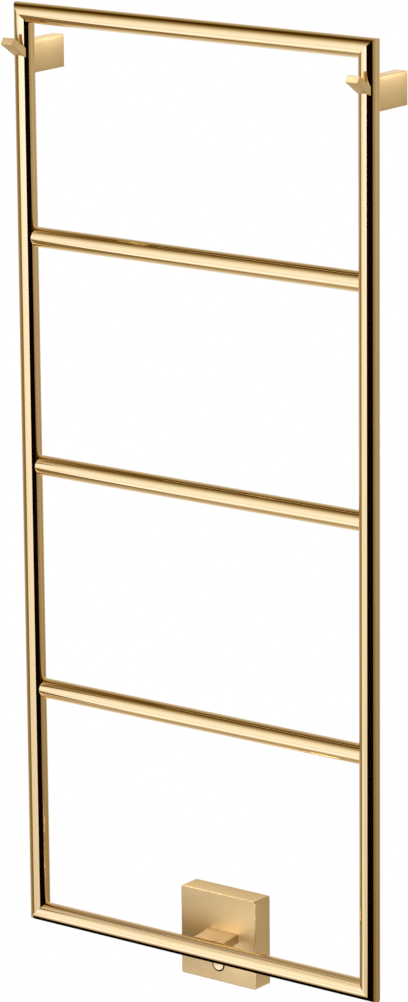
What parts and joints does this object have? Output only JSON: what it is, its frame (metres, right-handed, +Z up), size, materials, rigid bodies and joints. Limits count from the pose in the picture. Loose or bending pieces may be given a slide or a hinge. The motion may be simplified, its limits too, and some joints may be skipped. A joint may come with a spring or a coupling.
{
  "type": "towel warmer rack",
  "caption": "Wall-hung electric towel warmer: mitred round-tube ladder in polished gold, coat hooks on its two wall brackets, square control box with a push button.",
  "frame": {"origin": "centre of the four upper wall-screw holes, on the face of the wall", "axes": "+X to the right across the rack, +Y into the wall, +Z up"},
  "size_m": [0.475, 0.0894, 1.073],
  "materials": {
    "polished_gold": "polished, mirror-bright PVD gold",
    "satin_gold": "fine satin PVD gold",
    "button_gold": "polished gold",
    "zinc_steel": "zinc-plated steel",
    "black_plastic": "moulded black",
    "seal_rubber": "moulded silicone rubber",
    "board_green": "solder-masked glass fibre",
    "relay_blue": "moulded",
    "terminal_green": "moulded",
    "terminal_white": "moulded",
    "wire_brown": "PVC sleeve",
    "wire_blue": "PVC sleeve",
    "wire_earth": "PVC sleeve, green with a yellow stripe",
    "cable_silicone": "silicone sheath",
    "cable_black": "silicone sheath"
  },
  "bodies": {
    "rack": {"left_upright": "polished_gold", "right_upright": "polished_gold", "top_tube": "polished_gold", "bottom_tube": "polished_gold", "upper_rung": "polished_gold", "middle_rung": "polished_gold", "lower_rung": "polished_gold", "left_bracket": "satin_gold", "right_bracket": "satin_gold", "left_wall_plate": "zinc_steel", "right_wall_plate": "zinc_steel", "bracket_bolts": "zinc_steel", "bracket_grub_screws": "zinc_steel", "left_hook": "satin_gold", "right_hook": "satin_gold", "box_arm": "satin_gold", "arm_screws": "zinc_steel", "box_back_plate": "zinc_steel", "box_seal": "seal_rubber", "box_cover": "satin_gold", "cover_screws": "zinc_steel", "button_ring": "black_plastic", "button_spring": "zinc_steel", "button_switch": "black_plastic", "control_board": "board_green", "board_spacers": "zinc_steel", "board_screws": "zinc_steel", "power_relay": "relay_blue", "power_supply": "black_plastic", "mains_terminal": "terminal_green", "heater_terminal": "terminal_green", "terminal_block": "terminal_white", "terminal_screws": "zinc_steel", "live_wire": "wire_brown", "neutral_wire": "wire_blue", "earth_wire": "wire_earth", "earth_tag": "zinc_steel", "earth_screw": "zinc_steel", "inlet_bush": "seal_rubber", "heating_cable": "cable_silicone", "cable_spacers": "seal_rubber", "cable_end_cap": "seal_rubber", "cable_splice": "seal_rubber", "cold_lead": "cable_black"},
    "button": {"push_button": "button_gold"}
  },
  "joints": [
    {"name": "button_press", "type": "slide", "parent": "rack", "child": "button", "axis": [0, 1, 0], "range_m": [0, 0.0015], "stiffness_N_per_m": 400, "deforming": ["button_spring"]}
  ]
}
